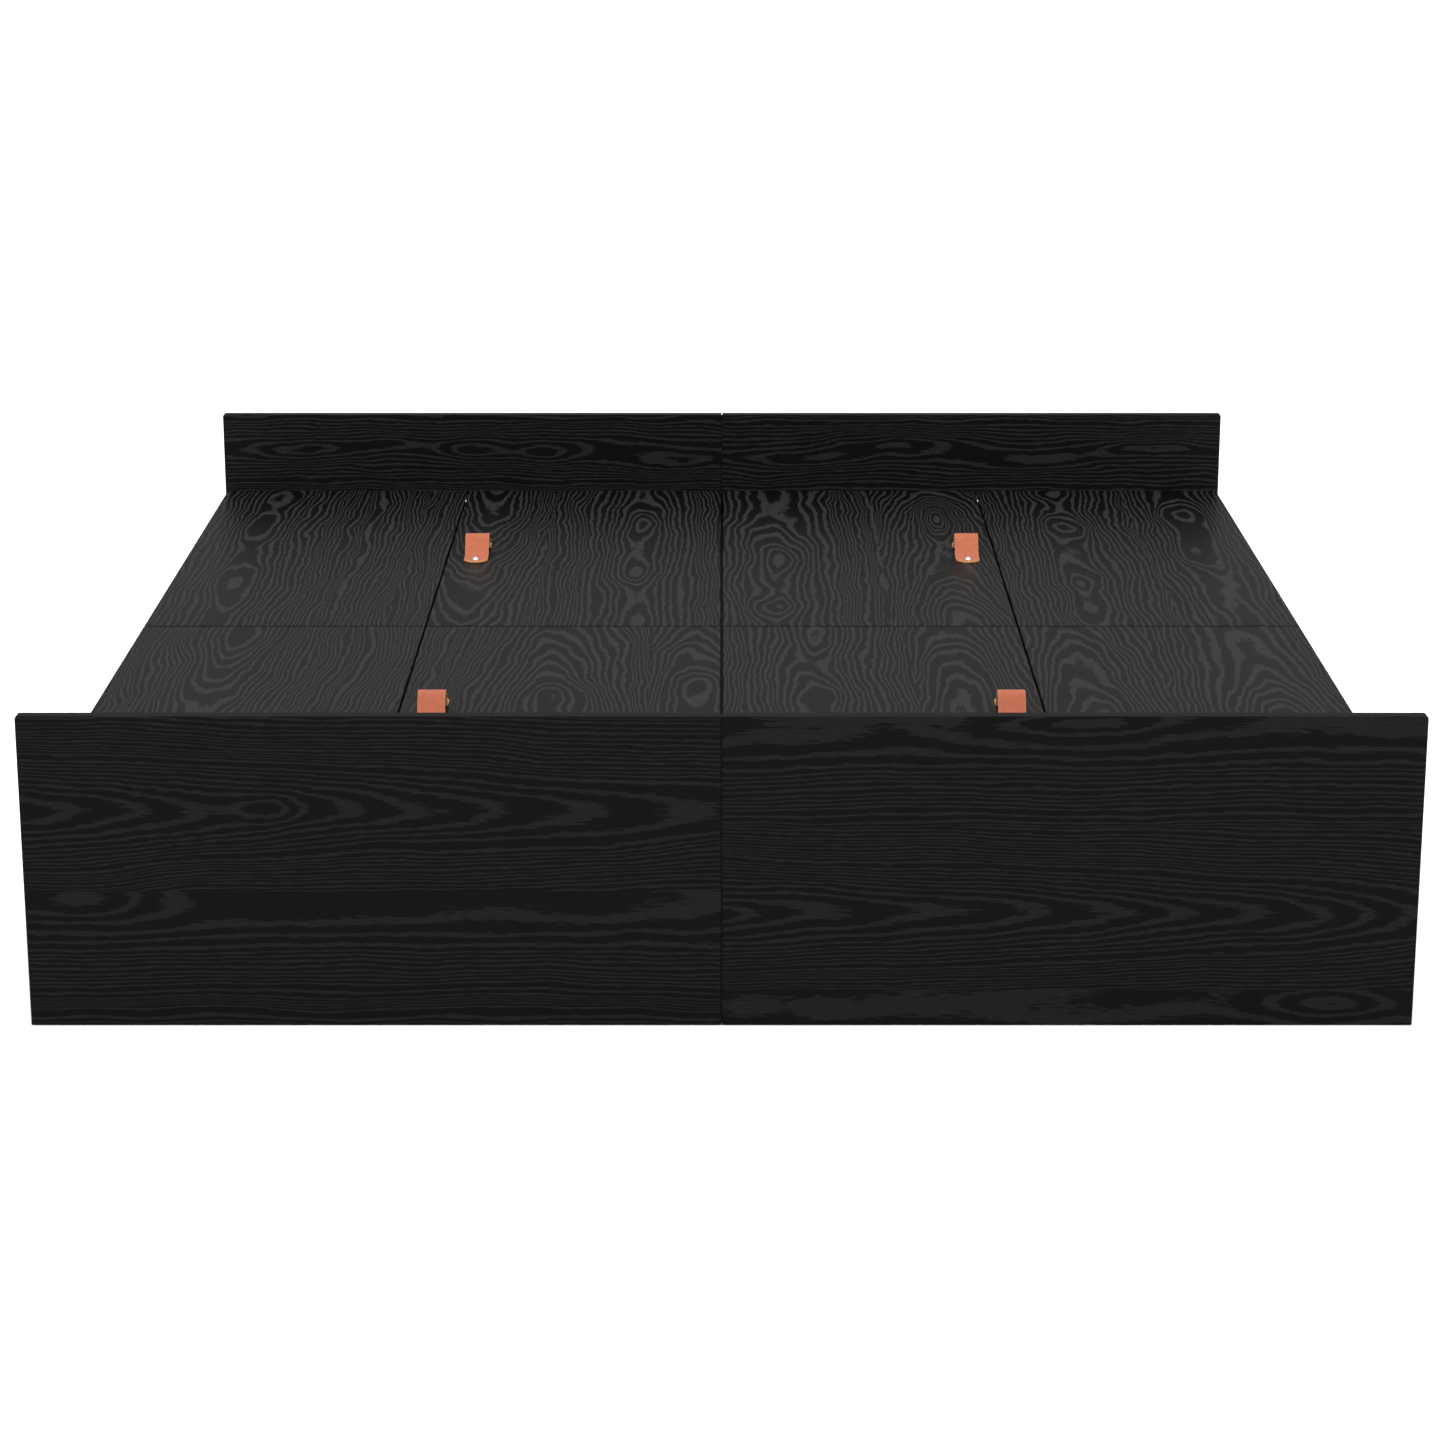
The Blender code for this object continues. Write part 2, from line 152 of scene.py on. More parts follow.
def black_oak(node, across, along, leaves, eyes=(), wander=12.0, swing=16.0, warp=16.0, ring=4.6,
              wobble=2.5, rag=1.3, base="#0E0E0E", pale="#1C1C1C", gloss=0.063):
    """Black stained oak veneer for one panel, measured in millimetres from the panel's low corner.

    across and along name the panel's axes across and along the grain. leaves are (start, heart,
    depth, slope): the veneer leaf from that place across on, cut at that depth from its heart line,
    which deepens by slope along it. eyes are (across, along, half width, half length, depth): a
    knot's rings. ring is the rings' spacing. wander and swing move the heart line sideways and in
    depth, warp bends the rings, and wobble and rag make each line uneven, coarsely and finely. base
    is the wood's colour and pale that of its pores, and gloss is how strongly the lacquer reflects.
    """
    made, tree = new_material(f"black_oak_{node}")
    low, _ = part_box(node)
    place = add(tree, "ShaderNodeTexCoord").outputs["Object"]
    place = add(tree, "ShaderNodeMapping", {"Vector": place, "Location": -low / MM, "Scale": (1 / MM,) * 3})
    place = add(tree, "ShaderNodeSeparateXYZ", {0: place})
    flat = place.outputs[across], place.outputs[along]
    through = ({"X", "Y", "Z"} - {across, along}).pop()
    thick = place.outputs[through]

    # Every leaf has its own heart line, and its own number, which gives its noise another start.
    PANEL_SEEDS, LEAF_SEED = 97, 7.3
    heart, depth, slope = leaves[0][1:]
    grown = add(tree, "ShaderNodeCombineXYZ", {0: heart, 1: depth, 2: slope})
    seed = add(tree, "ShaderNodeValue").outputs[0]
    seed.default_value = sum(map(ord, node)) % PANEL_SEEDS
    for start, heart, depth, slope in leaves[1:]:
        past = add(tree, "ShaderNodeMath", {0: flat[0], 1: start}, operation="GREATER_THAN")
        grown = add(tree, "ShaderNodeMix", {0: past, 4: grown, 5: (heart, depth, slope)}, data_type="VECTOR")
        grown = grown.outputs[1]
        seed = add(tree, "ShaderNodeMath", {0: past, 1: LEAF_SEED, 2: seed}, operation="MULTIPLY_ADD")
        seed = seed.outputs[0]
    grown = add(tree, "ShaderNodeSeparateXYZ", {0: grown})

    def cloud(spot, width, length, detail):
        """Smooth noise at a spot across and along, whose lumps are that wide and long in millimetres."""
        at = [add(tree, "ShaderNodeMath", {0: value, 1: 1 / lump}, operation="MULTIPLY")
              for value, lump in zip(spot, (width, length))]
        at = add(tree, "ShaderNodeCombineXYZ", {0: at[0], 1: at[1], 2: seed})
        return add(tree, "ShaderNodeTexNoise", {"Vector": at, "Scale": 1.0, "Detail": detail})

    def shifted(value, noise, amount):
        """value moved by up to about that amount either way by the noise."""
        part = add(tree, "ShaderNodeMath", {0: noise, 1: 0.5}, operation="SUBTRACT")
        return add(tree, "ShaderNodeMath", {0: part, 1: 2 * amount, 2: value}, operation="MULTIPLY_ADD")

    # The wood's own bends move every ring about, and further along the grain than across it.
    ALONG_GRAIN = 3.5
    bends = add(tree, "ShaderNodeSeparateColor", {0: cloud(flat, 62, 190, 2.5).outputs["Color"]})
    bent = shifted(flat[0], bends.outputs[0], warp), shifted(flat[1], bends.outputs[1], ALONG_GRAIN * warp)

    # The distance from the heart gives the ring: each passes through the leaf's flat face. A knot
    # pulls the rings round it in.
    drift = add(tree, "ShaderNodeSeparateColor", {0: cloud(bent, 150, 480, 1.0).outputs["Color"]})
    side = add(tree, "ShaderNodeMath", {0: bent[0], 1: grown.outputs[0]}, operation="SUBTRACT")
    side = shifted(side, drift.outputs[0], wander)
    deep = {0: bent[1], 1: grown.outputs[2], 2: grown.outputs[1]}
    deep = shifted(add(tree, "ShaderNodeMath", deep, operation="MULTIPLY_ADD"), drift.outputs[1], swing)
    side = add(tree, "ShaderNodeMath", {0: side, 1: side}, operation="MULTIPLY")
    both = add(tree, "ShaderNodeMath", {0: deep, 1: deep, 2: side}, operation="MULTIPLY_ADD")
    radius = add(tree, "ShaderNodeMath", {0: both}, operation="SQRT")
    for at_a, at_b, half_a, half_b, sink in eyes:
        off_a = add(tree, "ShaderNodeMath", {0: bent[0], 1: at_a}, operation="SUBTRACT")
        off_a = add(tree, "ShaderNodeMath", {0: off_a, 1: half_a}, operation="DIVIDE")
        off_a = add(tree, "ShaderNodeMath", {0: off_a, 1: off_a}, operation="MULTIPLY")
        off_b = add(tree, "ShaderNodeMath", {0: bent[1], 1: at_b}, operation="SUBTRACT")
        off_b = add(tree, "ShaderNodeMath", {0: off_b, 1: half_b}, operation="DIVIDE")
        off = add(tree, "ShaderNodeMath", {0: off_b, 1: off_b, 2: off_a}, operation="MULTIPLY_ADD")
        off = add(tree, "ShaderNodeMath", {0: off, 1: -1.0}, operation="MULTIPLY")
        off = add(tree, "ShaderNodeMath", {0: off}, operation="EXPONENT")
        radius = add(tree, "ShaderNodeMath", {0: off, 1: -sink, 2: radius}, operation="MULTIPLY_ADD")

    # Fast and slow years come in groups, which space or crowd the rings.
    YEAR_GROUP, YEAR_SHIFT = 26, 9.0
    years = {"W": radius, "Scale": 1 / YEAR_GROUP, "Detail": 1.0}
    radius = shifted(radius, add(tree, "ShaderNodeTexNoise", years, noise_dimensions="1D"), YEAR_SHIFT)
    radius = shifted(radius, cloud(flat, 36, 120, 1.0), wobble)
    radius = shifted(radius, cloud(flat, 2.6, 24, 1.0), rag)

    # A ring's pale pore line takes the middle third of it, and is broken into single pores.
    turn = add(tree, "ShaderNodeMath", {0: radius, 1: ring}, operation="DIVIDE")
    turn = add(tree, "ShaderNodeMath", {0: turn}, operation="FRACT")
    turn = add(tree, "ShaderNodeMath", {0: turn, 1: 0.5}, operation="SUBTRACT")
    turn = add(tree, "ShaderNodeMath", {0: turn}, operation="ABSOLUTE")
    line = add(tree, "ShaderNodeMapRange", {"Value": turn, "From Min": 0.25, "From Max": 0.13},
               interpolation_type="SMOOTHSTEP")
    pore = cloud(flat, 0.9, 16, 2.0)
    shown = add(tree, "ShaderNodeMapRange", {
        "Value": pore, "From Min": 0.36, "From Max": 0.62, "To Min": 0.62, "To Max": 1.0})
    line = add(tree, "ShaderNodeMath", {0: line, 1: shown}, operation="MULTIPLY")

    # The cut edges are banded with a thin strip whose fibres run along them.
    FIBRE_LENGTH, FIBRE_DENSITY = 90, 0.55  # millimetres, and fibres to a millimetre
    facing = add(tree, "ShaderNodeTexCoord").outputs["Normal"]
    facing = add(tree, "ShaderNodeSeparateXYZ", {0: facing}).outputs[through]
    facing = add(tree, "ShaderNodeMath", {0: facing}, operation="ABSOLUTE")
    banded = add(tree, "ShaderNodeMath", {0: facing, 1: 0.5}, operation="LESS_THAN")
    length = add(tree, "ShaderNodeMath", {0: flat[0], 1: flat[1]}, operation="ADD")
    length = add(tree, "ShaderNodeMath", {0: length, 1: 1 / FIBRE_LENGTH}, operation="MULTIPLY")
    fibre = add(tree, "ShaderNodeCombineXYZ", {0: thick, 1: length, 2: seed})
    fibre = add(tree, "ShaderNodeTexNoise", {"Vector": fibre, "Scale": FIBRE_DENSITY, "Detail": 3.0})
    fibre = add(tree, "ShaderNodeMapRange", {
        "Value": fibre, "From Min": 0.44, "From Max": 0.66, "To Max": 0.7})
    line = add(tree, "ShaderNodeMix", {0: banded, 2: line, 3: fibre}).outputs[0]

    colour = add(tree, "ShaderNodeMix", {0: line, 6: linear(base), 7: linear(pale)}, data_type="RGBA")
    rough = add(tree, "ShaderNodeMapRange", {"Value": line, "To Min": 0.42, "To Max": 0.52})
    relief = add(tree, "ShaderNodeMath", {0: line, 1: pore}, operation="SUBTRACT")
    bump = add(tree, "ShaderNodeBump", {"Strength": 0.12, "Distance": 0.15 * MM, "Height": relief})
    shader = add(tree, "ShaderNodeBsdfPrincipled", {
        "Base Color": colour.outputs[2], "Roughness": rough, "IOR": 1.45,
        "Specular IOR Level": gloss, "Normal": bump})
    add(tree, "ShaderNodeOutputMaterial", {"Surface": shader})
    return made


def clad(node, material):
    """Gives a part of the frame its finish."""
    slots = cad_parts[node].data.materials
    slots.clear()
    slots.append(material)


# The boards face the front, and their pores are painted darker than the deck's though all are one oak:
# painted shade.
FOOTBOARD_GRAIN_AND_SHADE = {"base": "#050505", "pale": "#131313", "gloss": 0.045,
             "wander": 6, "swing": 8, "warp": 8, "wobble": 1.6}
HEADBOARD_GRAIN_AND_SHADE = {**FOOTBOARD_GRAIN_AND_SHADE, "pale": "#191919", "warp": 12, "wobble": 3.0}
BOARD_FIGURE = {
    "footboard_left": (
        FOOTBOARD_GRAIN_AND_SHADE,
        [(0, 176, 130, 0.0), (188, 300, 40, 0.05)],
        [(300, 323, 16, 42, 9), (190, 70, 50, 110, 14)],
    ),
    "footboard_right": (
        FOOTBOARD_GRAIN_AND_SHADE,
        [(0, 30, 130, 0.0), (50, 157, 34, 0.05), (276, 420, 130, 0.0)],
        [(420, 446, 16, 130, 7), (30, 810, 24, 90, 9)],
    ),
    "headboard_left": (
        HEADBOARD_GRAIN_AND_SHADE,
        [(0, 362, 60, 0.0)],
        [(366, 450, 26, 62, 14), (356, 590, 22, 80, 15), (366, 150, 26, 140, 16), (372, 300, 20, 60, 8),
         (335, 850, 25, 120, 12)],
    ),
    "headboard_right": (
        HEADBOARD_GRAIN_AND_SHADE,
        [(0, 352, 60, 0.0)],
        [(345, 160, 20, 120, 12), (374, 330, 22, 130, 14), (340, 560, 20, 150, 10), (365, 800, 22, 120, 14)],
    ),
}
for node, (look, leaves, eyes) in BOARD_FIGURE.items():
    clad(node, black_oak(node, "Z", "X", leaves, eyes, **look))


# Deck -----------------------------------------------------------------------
# Eight panels of the same veneered board, grain running from head to foot. Each is faced with one or
# two leaves of plain-sawn oak, so its hearts, knots and joints fall in places of their own.

# The deck faces up, and its pores are painted paler than the boards' though all are one oak: painted light.
DECK_GRAIN_AND_LIGHT = {"ring": 6.4, "base": "#050505", "pale": "#252525", "rag": 1.2, "wobble": 4.0}
DECK_FIGURE = {
    "deck_panel_head_left": (
        [(0, 108, 95, 0.0), (380, 700, 60, 0.0)],
        [(107, 700, 45, 120, 12), (108, 290, 40, 100, 10), (108, 920, 60, 80, 9), (366, 600, 60, 300, 22)],
    ),
    "lid_head_left": (
        [(0, 52, 112, -0.072), (162, 327, 112, 0.0)],
        [(328, 747, 34, 90, 8), (326, 356, 46, 80, 11), (330, 560, 90, 330, 16), (337, 20, 50, 100, 9)],
    ),
    "lid_head_right": (
        [(0, 95, 112, 0.0), (270, 386, 45, 0.085)],
        [(101, 490, 34, 90, 8), (85, 120, 46, 80, 11), (92, 330, 90, 330, 16), (382, 790, 36, 140, 50)],
    ),
    "deck_panel_head_right": (
        [(0, 137, 90, 0.0), (262, 359, 90, 0.0)],
        [(139, 710, 40, 80, 14), (131, 300, 36, 70, 12), (119, 110, 36, 60, 9), (112, 960, 50, 60, 8),
         (359, 810, 42, 80, 13), (352, 480, 40, 90, 9)],
    ),
    "deck_panel_foot_left": (
        [(0, 158, 125, -0.065)],
        [(158, 944, 60, 120, 16), (391, 820, 60, 250, 22), (207, 300, 60, 160, 16)],
    ),
    "lid_foot_left": (
        [(0, 215, 30, 0.085), (360, 433, 30, 0.07)],
        [(215, 600, 50, 90, 16), (433, 650, 50, 90, 12)],
    ),
    "lid_foot_right": (
        [(0, 137, 95, 0.0), (287, 356, 40, 0.055)],
        [(85, 734, 30, 80, 7), (142, 930, 45, 110, 13), (147, 560, 45, 110, 13), (137, 240, 50, 140, 14)],
    ),
    "deck_panel_foot_right": (
        [(0, 74, 40, 0.055), (191, 337, 90, 0.03)],
        [(337, 500, 50, 140, 12)],
    ),
}
for node, (leaves, eyes) in DECK_FIGURE.items():
    clad(node, black_oak(node, "X", "Y", leaves, eyes, **DECK_GRAIN_AND_LIGHT))


# Walls and rails ------------------------------------------------------------
# The same veneered board on edge: a wall under each joint of the deck, grain along the wall, and a
# rail over each drawer. The tongue is a strip of black fibreboard glued into both halves of a board.

ROWS = ("head", "foot")
SIDES = ("left", "right")
PLACES = [(row, side) for row in ROWS for side in SIDES]
for row in ROWS:
    clad(f"centre_wall_{row}", black_oak(f"centre_wall_{row}", "Z", "Y", [(0, 90, 60, 0.02)]))
for side in SIDES:
    clad(f"mid_wall_{side}", black_oak(f"mid_wall_{side}", "Z", "X", [(0, 150, 40, 0.04)]))
for row, side in PLACES:
    node = f"partition_{row}_{side}"
    clad(node, black_oak(node, "Z", "Y", [(0, 200, 50, 0.03), (120, 40, 70, 0.0)]))
    node = f"side_rail_{row}_{side}"
    clad(node, black_oak(node, "Z", "Y", [(0, 120, 30, 0.02)]))


def pick(kind, test):
    """In edit mode, selects only the VERT, EDGE or FACE elements that pass a test of each and its middle."""
    bpy.ops.mesh.select_mode(type=kind)
    bpy.ops.mesh.select_all(action="DESELECT")
    shape = bmesh.from_edit_mesh(bpy.context.object.data)
    shape.normal_update()
    for item in {"VERT": shape.verts, "EDGE": shape.edges, "FACE": shape.faces}[kind]:
        middle = item.co if kind == "VERT" else sum((v.co for v in item.verts), Vector()) / len(item.verts)
        if test(item, middle):
            item.select_set(True)
    shape.select_flush_mode()
    bmesh.update_edit_mesh(bpy.context.object.data)


def start_box(name, low, high):
    """A cube stretched between two corners, its place in its mesh, left in edit mode."""
    low, high = Vector(low), Vector(high)
    bpy.ops.mesh.primitive_cube_add(size=1, location=(low + high) / 2, scale=high - low)
    bpy.context.object.name = name
    bpy.ops.object.transform_apply(location=True, rotation=True, scale=True)
    bpy.ops.object.mode_set(mode="EDIT")


def ease_edges(width):
    """Rounds every edge over by that width."""
    bpy.ops.mesh.select_mode(type="EDGE")
    bpy.ops.mesh.select_all(action="SELECT")
    bpy.ops.mesh.bevel(offset=width, segments=2, affect="EDGES")


def leave(smooth=30):
    """Ends edit mode. Faces that meet at less than that many degrees are shaded as one round surface."""
    bpy.ops.object.mode_set(mode="OBJECT")
    bpy.ops.object.shade_smooth_by_angle(angle=math.radians(smooth))
    made = bpy.context.object
    made.select_set(False)
    return made


def fix(piece, body, slot, *materials):
    """Gives a piece its materials and fixes it to its body. The slot is not used."""
    for material in materials:
        piece.data.materials.append(material)
    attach(piece, body)


# Black fibreboard: wood fibres pressed flat, stained through, with a mottle of about 2.4 mm and no
# grain.
fibreboard, tree = new_material("black_fibreboard")
place = add(tree, "ShaderNodeTexCoord").outputs["Object"]
mottle = add(tree, "ShaderNodeTexNoise", {"Vector": place, "Scale": 420.0, "Detail": 5.0, "Roughness": 0.7})
shade = add(tree, "ShaderNodeMix", {0: mottle, 6: linear("#0E0E0E"), 7: linear("#1E1D1C")}, data_type="RGBA")
bump = add(tree, "ShaderNodeBump", {"Strength": 0.25, "Distance": 0.1 * MM, "Height": mottle})
shader = add(tree, "ShaderNodeBsdfPrincipled", {
    "Base Color": shade.outputs[2], "Roughness": 0.62, "Specular IOR Level": 0.15, "Normal": bump})
add(tree, "ShaderNodeOutputMaterial", {"Surface": shader})

TONGUE_GRIP = 0.1 * MM
TONGUE_BACK, TONGUE_FOOT, TONGUE_TOP = 5 * MM, 1 * MM, 2.5 * MM  # how far it stays inside the board
for row in ROWS:
    low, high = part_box(f"{row}board_left")
    right_low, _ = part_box(f"{row}board_right")
    start_box(f"{row}board_tongue", (high.x - TONGUE_GRIP, low.y + TONGUE_BACK, low.z + TONGUE_FOOT),
              (right_low.x + TONGUE_GRIP, high.y - TONGUE_BACK, high.z - TONGUE_TOP))
    ease_edges(0.3 * MM)
    fix(leave(), "bed_frame", "black_board", fibreboard)


# Chest floors and drawer boxes ----------------------------------------------
# Laminated board: a black melamine film with a faint pressed pore, over chipboard. Flat and even.
# The drawer fronts are of the veneered board again, and their grain runs along the bed.

laminate, tree = new_material("black_laminate")
place = add(tree, "ShaderNodeTexCoord").outputs["Object"]
stretch = add(tree, "ShaderNodeMapping", {"Vector": place, "Scale": (1.0, 0.12, 1.0)})
pores = add(tree, "ShaderNodeTexNoise", {"Vector": stretch, "Scale": 900.0, "Detail": 4.0})  # 1 by 9 mm
patches = add(tree, "ShaderNodeTexNoise", {"Vector": place, "Scale": 9.0, "Detail": 2.0})  # 110 mm
shade = add(tree, "ShaderNodeMix", {0: pores, 6: linear("#141414"), 7: linear("#202020")}, data_type="RGBA")
rough = add(tree, "ShaderNodeMapRange", {"Value": patches, "To Min": 0.45, "To Max": 0.58})
bump = add(tree, "ShaderNodeBump", {"Strength": 0.12, "Distance": 0.1 * MM, "Height": pores})
shader = add(tree, "ShaderNodeBsdfPrincipled", {
    "Base Color": shade.outputs[2], "Roughness": rough, "Specular IOR Level": 0.2, "Normal": bump})
add(tree, "ShaderNodeOutputMaterial", {"Surface": shader})
for row, side in PLACES:
    for kind in ("chest_floor", "drawer_box", "drawer_floor"):
        clad(f"{kind}_{row}_{side}", laminate)
    node = f"drawer_front_{row}_{side}"
    clad(node, black_oak(node, "Z", "Y", [(0, 120, 50, 0.05), (60, 150, 30, 0.04)]))


# Leather straps -------------------------------------------------------------
# A 40 mm strip of 3 mm vegetable-tanned leather, dyed coral on its face and left raw tan on its cut
# edges and flesh side, folded to an arch and screwed flat to the lid at both ends, which are cut to
# an arc.

# Dyed hide: a pebbled grain of about a millimetre, with shade painted darker into its creases, and a soft
# sheen.
PEBBLE = 1.1 * MM
hide, tree = new_material("coral_leather_face")
place = add(tree, "ShaderNodeTexCoord").outputs["Object"]
pebble = add(tree, "ShaderNodeTexVoronoi", {"Vector": place, "Scale": 1 / PEBBLE}, feature="DISTANCE_TO_EDGE")
crease = add(tree, "ShaderNodeMapRange", {"Value": pebble, "From Max": 0.16})
cloud = add(tree, "ShaderNodeTexNoise", {"Vector": place, "Scale": 70.0, "Detail": 3.0})  # 14 mm
fine = add(tree, "ShaderNodeTexNoise", {"Vector": place, "Scale": 2600.0, "Detail": 2.0})  # 0.4 mm
# Painted shade: the colour darkens in the pebble creases, and its tone varies at random over 14 mm patches.
crease_shade_and_tone = add(tree, "ShaderNodeMath", {0: crease, 1: cloud}, operation="MULTIPLY")
crease_shade_and_tone = add(tree, "ShaderNodeMapRange", {"Value": crease_shade_and_tone, "From Min": 0.1, "From Max": 0.6})
shade = add(tree, "ShaderNodeMix", {0: crease_shade_and_tone, 6: linear("#874225"), 7: linear("#974D2E")}, data_type="RGBA")
rough = add(tree, "ShaderNodeMapRange", {"Value": crease, "To Min": 0.68, "To Max": 0.52})
relief = add(tree, "ShaderNodeMath", {0: fine, 1: 0.35, 2: crease}, operation="MULTIPLY_ADD")
bump = add(tree, "ShaderNodeBump", {"Strength": 0.3, "Distance": 0.12 * MM, "Height": relief})
shader = add(tree, "ShaderNodeBsdfPrincipled", {
    "Base Color": shade.outputs[2], "Roughness": rough, "IOR": 1.5, "Specular IOR Level": 0.3,
    "Sheen Weight": 0.08, "Sheen Roughness": 0.5, "Normal": bump})
add(tree, "ShaderNodeOutputMaterial", {"Surface": shader})

# The cut edge shows undyed fibres of 0.7 mm across the thickness, fuzzy and lighter.
raw_edge, tree = new_material("raw_leather_edge")
place = add(tree, "ShaderNodeTexCoord").outputs["Object"]
fibres = add(tree, "ShaderNodeTexNoise", {"Vector": place, "Scale": 1500.0, "Detail": 4.0, "Roughness": 0.7})
shade = add(tree, "ShaderNodeMix", {0: fibres, 6: linear("#8E5A36"), 7: linear("#C08B62")}, data_type="RGBA")
bump = add(tree, "ShaderNodeBump", {"Strength": 0.5, "Distance": 0.2 * MM, "Height": fibres})
shader = add(tree, "ShaderNodeBsdfPrincipled", {
    "Base Color": shade.outputs[2], "Roughness": 0.85, "Specular IOR Level": 0.2, "Normal": bump})
add(tree, "ShaderNodeOutputMaterial", {"Surface": shader})

# The flesh side under the strap is undyed as well: pale suede with a brushed nap of about 1 mm.
flesh_side, tree = new_material("suede_flesh_side")
place = add(tree, "ShaderNodeTexCoord").outputs["Object"]
nap = add(tree, "ShaderNodeTexNoise", {"Vector": place, "Scale": 900.0, "Detail": 4.0, "Roughness": 0.7})
shade = add(tree, "ShaderNodeMix", {0: nap, 6: linear("#C2905C"), 7: linear("#E2B685")}, data_type="RGBA")
bump = add(tree, "ShaderNodeBump", {"Strength": 0.6, "Distance": 0.3 * MM, "Height": nap})
shader = add(tree, "ShaderNodeBsdfPrincipled", {
    "Base Color": shade.outputs[2], "Roughness": 0.95, "Specular IOR Level": 0.1, "Normal": bump})
add(tree, "ShaderNodeOutputMaterial", {"Surface": shader})

low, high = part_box("strap_head_left")
strap_middle = (low + high) / 2
strap_width, strap_span, strap_height = high - low
STRAP_THICK = 3 * MM
FOLD, BEND, SLOPE = 15 * MM, 10 * MM, math.radians(55)  # the radii over the top and at the feet
FOOT_FLAT = 9 * MM
END_BULGE, END_SPARE = 14 * MM, 1 * MM
COLUMNS, TURN_STEPS = 16, 7
SAME = 0.01 * MM  # points nearer than this are in one place

# The strip's line over the arch, from the front foot's bend to the top of the fold and down again.
rise = strap_height - STRAP_THICK
straight = (rise - (FOLD + BEND) * (1 - math.cos(SLOPE))) / math.tan(SLOPE)
run = (FOLD + BEND) * math.sin(SLOPE) + straight
turns = [SLOPE * step / TURN_STEPS for step in range(TURN_STEPS + 1)]
bend_line = [(-run + BEND * math.sin(t), BEND * (1 - math.cos(t))) for t in turns]
fold_line = [(-FOLD * math.sin(t), rise - FOLD * (1 - math.cos(t))) for t in reversed(turns)]
half_line = [(-run - FOOT_FLAT, 0.0), *bend_line, *fold_line]
foot = strap_span / 2 - END_BULGE - END_SPARE
line = half_line + [(-along, up) for along, up in reversed(half_line[:-1])] + [(foot, 0.0)]

bpy.ops.mesh.primitive_grid_add(x_subdivisions=COLUMNS, y_subdivisions=1, size=1, location=(0, 0, 0))
bpy.ops.object.mode_set(mode="EDIT")
sole = low.z + STRAP_THICK / 2
first = line[0][0] + foot
bpy.ops.transform.resize(value=(strap_width, first, 1))
bpy.ops.transform.translate(value=(strap_middle.x, strap_middle.y - foot + first / 2, sole))
for (y0, z0), (y1, z1) in zip(line, line[1:]):
    at = strap_middle.y + y0
    pick("VERT", lambda v, m: abs(m.y - at) < SAME and abs(m.z - sole - z0) < SAME)
    bpy.ops.mesh.select_mode(type="EDGE")
    bpy.ops.mesh.extrude_region_move(TRANSFORM_OT_translate={"value": (0, y1 - y0, z1 - z0)})
# Both ends reach out to an arc: the corners stay back and the middle stands proud.
arc_radius = ((strap_width / 2) ** 2 + END_BULGE**2) / (2 * END_BULGE)
for end in (-1, 1):
    for column in range(COLUMNS + 1):
        across = strap_width * (column / COLUMNS - 0.5)
        arc = arc_radius - math.sqrt(arc_radius**2 - across**2)
        pick("VERT", lambda v, m: abs(m.x - strap_middle.x - across) < SAME
             and abs(m.y - strap_middle.y - end * foot) < SAME)
        bpy.ops.transform.translate(value=(0, end * (strap_span / 2 - arc - foot), 0))
bpy.ops.mesh.select_all(action="SELECT")
bpy.ops.mesh.normals_make_consistent(inside=False)
strap = leave(60)
if sum(face.normal.z for face in strap.data.polygons) < 0:
    strap.data.flip_normals()
for material in (hide, raw_edge, flesh_side):
    strap.data.materials.append(material)
thick = strap.modifiers.new("hide", "SOLIDIFY")
thick.thickness, thick.offset, thick.use_even_offset = STRAP_THICK, 0.0, True
thick.material_offset, thick.material_offset_rim = 2, 1
soft = strap.modifiers.new("burnished_edge", "BEVEL")
soft.width, soft.segments, soft.limit_method, soft.angle_limit = 0.5 * MM, 2, "ANGLE", math.radians(60)
soft.material = 1
bpy.context.view_layer.objects.active = strap
for modifier in ("hide", "burnished_edge"):
    bpy.ops.object.modifier_apply(modifier=modifier)


def copy_to(piece, name, move=(0, 0, 0), mirrored=False):
    """A copy with its own mesh, mirrored from right to left if asked, then moved."""
    made = piece.copy()
    made.data = piece.data.copy()
    made.name = name
    bpy.context.scene.collection.objects.link(made)
    if mirrored:
        made.data.transform(Matrix.Diagonal((-1, 1, 1, 1)))
        made.data.flip_normals()
    made.data.transform(Matrix.Translation(move))
    return made


strap_tops = {}
for row, side in PLACES:
    low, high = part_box(f"strap_{row}_{side}")
    here = (low + high) / 2
    made = copy_to(strap, f"leather_strap_{row}_{side}", here - strap_middle)
    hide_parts(f"strap_{row}_{side}")
    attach(made, f"lid_{row}_{side}")
    strap_tops[row, side] = Vector((here.x, here.y, low.z + STRAP_THICK))
bpy.data.objects.remove(strap)


# Strap screws ---------------------------------------------------------------
# Nickel-plated pan screws through each foot: a turned dome with a hexagon socket, bright as a
# mirror, pressed a little way into the leather.


